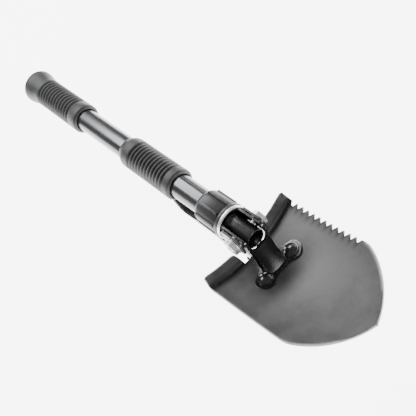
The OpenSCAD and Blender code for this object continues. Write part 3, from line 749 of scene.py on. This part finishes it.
# The web: a bent sheet between the cheeks, crowned in the middle. Its top edge follows the
# hinge tube's mouth.
WEB = [(13.9, -7.6), (14.2, -10.5), (14.9, -14.5), (16.2, -19), (18.4, -24.2), (21.6, -29.2),
       (25.5, -33.4), (30, -37.4)]
old = set(bm.verts)
bmesh.ops.create_grid(bm, x_segments=len(WEB) - 1, y_segments=32, size=0.5)
web = [v for v in bm.verts if v not in old]
bm.normal_update()
for v in web:
    i, t = round((v.co.x + 0.5) * (len(WEB) - 1)), 2 * v.co.y
    crown = 2.2 * (1 - t * t) * sin(pi * i / (len(WEB) - 1))
    y = t * (CHEEK_IN + 0.3)
    lift = (10 - sqrt(max(hinge_r ** 2 - y * y, 0))) * max(1 - i / 2, 0)
    v.co = pivot + Vector((WEB[i][0] + crown, y, WEB[i][1] + 0.4 * crown + lift)) * mm
web_faces = list({f for v in web for f in v.link_faces})
solid = bmesh.ops.extrude_face_region(bm, geom=web_faces)
for v in [g for g in solid["geom"] if isinstance(g, bmesh.types.BMVert)]:
    v.co += Vector((CHEEK, 0, -0.3)) * mm
finish_piece("blade_bracket", bm, gloss_enamel, "blade", ["blade_bracket"],
             sharp=32, edge=0.45)

# ---- Rivets and their rims ----
# Two steel rivets through the ears, with high polished domes over flat rims, enamelled black.
HEAD_R, HEAD_H = 6.8, 3.4
RIM_R, RIM = 7.7, 0.8
base = CHEEK + RIM_R ** 2 / (2 * DISH_R) + 0.02


def at_rivet(side):
    """Places a piece square to the dished face at a rivet, its own X axis standing up."""
    spot = pivot + Vector((EAR_X, side * EAR_Y, dish_z(EAR_X, EAR_Y))) * mm
    return (Matrix.Translation(spot)
            @ Matrix.Rotation(-asin((EAR_X + SWEEP_BACK) / SWEEP_R), 4, "Y")
            @ Matrix.Rotation(side * asin(EAR_Y / DISH_R), 4, "X")
            @ Matrix.Rotation(-pi / 2, 4, "Y"))


dome_r = (HEAD_R ** 2 + HEAD_H ** 2) / (2 * HEAD_H)
edge_angle = degrees(asin(HEAD_R / dome_r))
foot_x = base + RIM
dome = arc(foot_x + HEAD_H - dome_r, 0, dome_r, 0, edge_angle, 14)
bm = bmesh.new()
for side in (-1, 1):
    turn_outline(bm, dome[:-1] + [(foot_x + 0.25, HEAD_R), (foot_x, HEAD_R - 0.1), (foot_x, 3),
                                  (-SHEET, 3), (-SHEET, 4.6), (-SHEET - 0.5, 5),
                                  (-SHEET - 1, 4.2), (-SHEET - 1, 0)],
                 steps=64, place=at_rivet(side))
finish_piece("blade_rivets", bm, gloss_enamel, "blade", ["blade_rivets"])
bm = bmesh.new()
for side in (-1, 1):
    turn_outline(bm, [(base, 3.05), (base, RIM_R - 0.1), (base + 0.2, RIM_R), (foot_x - 0.3, RIM_R),
                      (foot_x, RIM_R - 0.3), (foot_x, 3.05), (base, 3.05)],
                 steps=64, place=at_rivet(side))
finish_piece("rivet_washers", bm, gloss_enamel, "blade", ["rivet_washers"])

# ---- Pick ----
# A pressed steel pick under the handle: a web with turned-up flanges that taper to a point, a
# stiffening rib along it, and two fork plates on the pivot bolt. Satin dark coating.

# Satin dark coating: brownish black on pressed steel, low gloss, rubbed paler in places
dark_coat, tree, shader, place = start_material(
    "dark_coat", Metallic=0.3, Roughness=0.38, Coat_Weight=0.25, Coat_Roughness=0.2)
cloud = add_node(tree, "ShaderNodeTexNoise", {"Vector": place, "Scale": 1 / (15 * mm), "Detail": 6})
fine = add_node(tree, "ShaderNodeTexNoise", {"Vector": place, "Scale": 1 / (0.9 * mm), "Detail": 3})
tree.links.new(add_node(tree, "ShaderNodeMix", {
    0: cloud.outputs[0], 6: linear("#2c2b2a"), 7: linear("#3f3d3b")},
    data_type="RGBA").outputs[2], shader.inputs["Base Color"])
tree.links.new(add_node(tree, "ShaderNodeMapRange", {
    "Value": cloud.outputs[0], 1: 0.3, 2: 0.7, 3: 0.3, 4: 0.46}).outputs[0],
    shader.inputs["Roughness"])
tree.links.new(add_node(tree, "ShaderNodeBump", {
    "Height": fine.outputs[0], "Strength": 0.15, "Distance": 0.05 * mm}).outputs[0],
    shader.inputs["Normal"])

low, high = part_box("pick")
PICK_DROP = -low.z / mm
PICK_REACH = (pivot.x - low.x) / mm
FORK_OUT = high.y / mm
FORK_IN = FORK_OUT - SHEET
SIDE_END = 72.0        # from the bolt to where the sides start to taper
WEB_START = 22.0
FLANGE_H = 9.0
EYE_R = 12.0           # of the fork ahead of the bolt
FORK_R = 16.3          # of the fork behind it
FORK_TOP = high.z / mm
ogive = ((PICK_REACH - SIDE_END) ** 2 + FORK_OUT ** 2) / (2 * FORK_OUT)


def pick_half(x):
    """Half the pick's width at x behind the bolt."""
    if x <= SIDE_END:
        return FORK_OUT
    return max(FORK_OUT - ogive + sqrt(ogive ** 2 - (x - SIDE_END) ** 2), 0.5)


bm = bmesh.new()
heel_from = 180 - degrees(asin(FORK_TOP / FORK_R))
corner = FORK_TOP - 6
fork = ([(0.5, 9 - PICK_DROP), (4.5, 15 - PICK_DROP)] + arc(0, 0, EYE_R, -40, 0, 6)
        + arc(EYE_R - corner, FORK_TOP - corner, corner, 0, 90, 6)
        + arc(0, 0, FORK_R, heel_from, 190, 8)
        + [(-17, FLANGE_H - PICK_DROP + 2.5), (-22, FLANGE_H - PICK_DROP + 0.9),
           (-30, FLANGE_H - PICK_DROP), (-30, 1.4 - PICK_DROP), (-20, 1.4 - PICK_DROP),
           (-8, 1.0 - PICK_DROP)])
for side in (-1, 1):
    place = Matrix.Translation(pivot + Vector((0, side * FORK_OUT * mm if side > 0
                                               else -FORK_IN * mm, 0)))
    plate(bm, fork, SHEET, place @ Matrix.Rotation(pi / 2, 4, "X"))

# The channel: rows run up one flange, across the web and its rib, and up the other flange
TURN = 2.6
stations = [WEB_START + k * 4.0 for k in range(12)]
stations += [SIDE_END - 0.5 + (PICK_REACH - SIDE_END) * k / 20 for k in range(20)]
stations += [PICK_REACH - 1.2, PICK_REACH - 0.4, PICK_REACH]
ROWS = ([("flange", f) for f in (1.0, 0.6, 0.25)] + [("turn", a) for a in (90, 67, 45, 22, 0)]
        + [("web", f) for f in (0.75, 0.5, 0.34, 0.26, 0.18, 0.0)])
ROWS = [(-1, *row) for row in ROWS] + [(1, *row) for row in reversed(ROWS[:-1])]


def channel_point(x, side, kind, value):
    """A point of the channel's upper face, from the bolt, in mm."""
    half = pick_half(x)
    fade = min(max((SIDE_END + 14 - x) / 30, 0), 1)
    height = max(FLANGE_H * fade, 0.25)
    turn = min(TURN, half * 0.3) * min(1, height / TURN)
    floor_z = SHEET - PICK_DROP
    half -= SHEET * min(1, half / 8)
    if kind == "flange":
        return Vector((-x, side * half, floor_z + turn + (height - turn) * value * (height > turn)))
    if kind == "turn":
        a = radians(value)
        return Vector((-x, side * (half - turn + turn * sin(a)), floor_z + turn * (1 - cos(a))))
    rib = 1.6 * min(max((PICK_REACH - 14 - x) / 8, 0), 1) * min(max((x - WEB_START - 4) / 6, 0), 1)
    rise = rib * (0.5 + 0.5 * cos(pi * min(value / 0.34, 1)))
    return Vector((-x, side * (half - turn) * value, floor_z + rise))


old = set(bm.verts)
bmesh.ops.create_grid(bm, x_segments=len(stations) - 1, y_segments=len(ROWS) - 1, size=0.5)
channel = [v for v in bm.verts if v not in old]
for v in channel:
    i = round((0.5 - v.co.x) * (len(stations) - 1))
    j = round((v.co.y + 0.5) * (len(ROWS) - 1))
    v.co = pivot + channel_point(stations[i], *ROWS[j]) * mm
channel_faces = list({f for v in channel for f in v.link_faces})
bm.normal_update()
normals = {v: v.normal.copy() for v in channel}
under = bmesh.ops.duplicate(bm, geom=channel + list({e for v in channel for e in v.link_edges})
                            + channel_faces)
for v in channel:
    under["vert_map"][v].co = v.co - normals[v] * (SHEET - 0.05) * mm
bmesh.ops.reverse_faces(bm, faces=[f for f in under["geom"] if isinstance(f, bmesh.types.BMFace)])
rim = [e for e in bm.edges if e.is_boundary]
bmesh.ops.bridge_loops(bm, edges=rim)
finish_piece("pick", bm, dark_coat, "pick", ["pick"], sharp=35, edge=0.35)

# ---- Studio ----
# A seamless white floor, low enough to clear the opened pick. One long light is overhead, with
# a strip along the far side and a small lamp ahead of the blade, so that the dark metal shows
# soft bands of light.

# White paper: matt and even, with the faintest tooth
white_paper, tree, shader, place = start_material("white_paper", Roughness=0.9)
tooth = add_node(tree, "ShaderNodeTexNoise", {"Vector": place, "Scale": 1 / (2 * mm), "Detail": 2})
tree.links.new(add_node(tree, "ShaderNodeMix", {
    0: tooth.outputs[0], 6: linear("#fbfbfb"), 7: linear("#ffffff")},
    data_type="RGBA").outputs[2], shader.inputs["Base Color"])
shader.inputs["Emission Color"].default_value = (1, 1, 1, 1)
shader.inputs["Emission Strength"].default_value = 6.0
low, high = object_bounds()
bm = bmesh.new()
bmesh.ops.create_grid(bm, x_segments=1, y_segments=1, size=4.0, matrix=Matrix.Translation(
    (pivot.x, 0, low.z - 120 * mm)))
mesh = bpy.data.meshes.new("studio_floor")
bm.to_mesh(mesh)
bm.free()
floor = bpy.data.objects.new("studio_floor", mesh)
floor.data.materials.append(white_paper)
scene.collection.objects.link(floor)
floor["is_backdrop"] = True

scene.world = scene.world or bpy.data.worlds.new("studio")
scene.world.use_nodes = True
scene.world.node_tree.nodes["Background"].inputs["Color"].default_value = (1, 1, 1, 1)
scene.world.node_tree.nodes["Background"].inputs["Strength"].default_value = 0.3

for name, spot, target, size, power in (
        ("overhead", (-0.85, 0.08, 1.2), (0.0, 0.0, 0), (1.7, 0.45), 38),
        ("far_strip", (0.15, 1.1, 0.45), (0.25, 0, 0), (1.6, 0.22), 4),
        ("front_fill", (1.5, 0.15, 0.5), (0.36, 0, 0), (0.4, 0.4), 9)):
    data = bpy.data.lights.new(name, "AREA")
    data.shape = "RECTANGLE"
    data.size, data.size_y = size
    data.energy = power
    lamp = bpy.data.objects.new(name, data)
    scene.collection.objects.link(lamp)
    aim = (Vector(target) - Vector(spot)).to_track_quat("-Z", "Y").to_matrix().to_4x4()
    lamp.matrix_world = Matrix.Translation(spot) @ aim

# The camera looks down along the tool from ahead of the blade, and rolled a little
camera_data = bpy.data.cameras.new("camera")
camera_data.lens = 56.72
camera_data.sensor_width = 36.0
camera = bpy.data.objects.new("camera", camera_data)
scene.collection.objects.link(camera)
right = Vector((0.659, 0.664, -0.3525)).normalized()
back = Vector((0.5886, -0.1639, 0.7916)).normalized()
up = back.cross(right).normalized()
right = up.cross(back)
camera.matrix_world = (Matrix.Translation(pivot + Vector((0.29770, -0.09804, 0.46389)))
                       @ Matrix((right, up, back)).transposed().to_4x4())
scene.camera = camera

low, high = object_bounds()
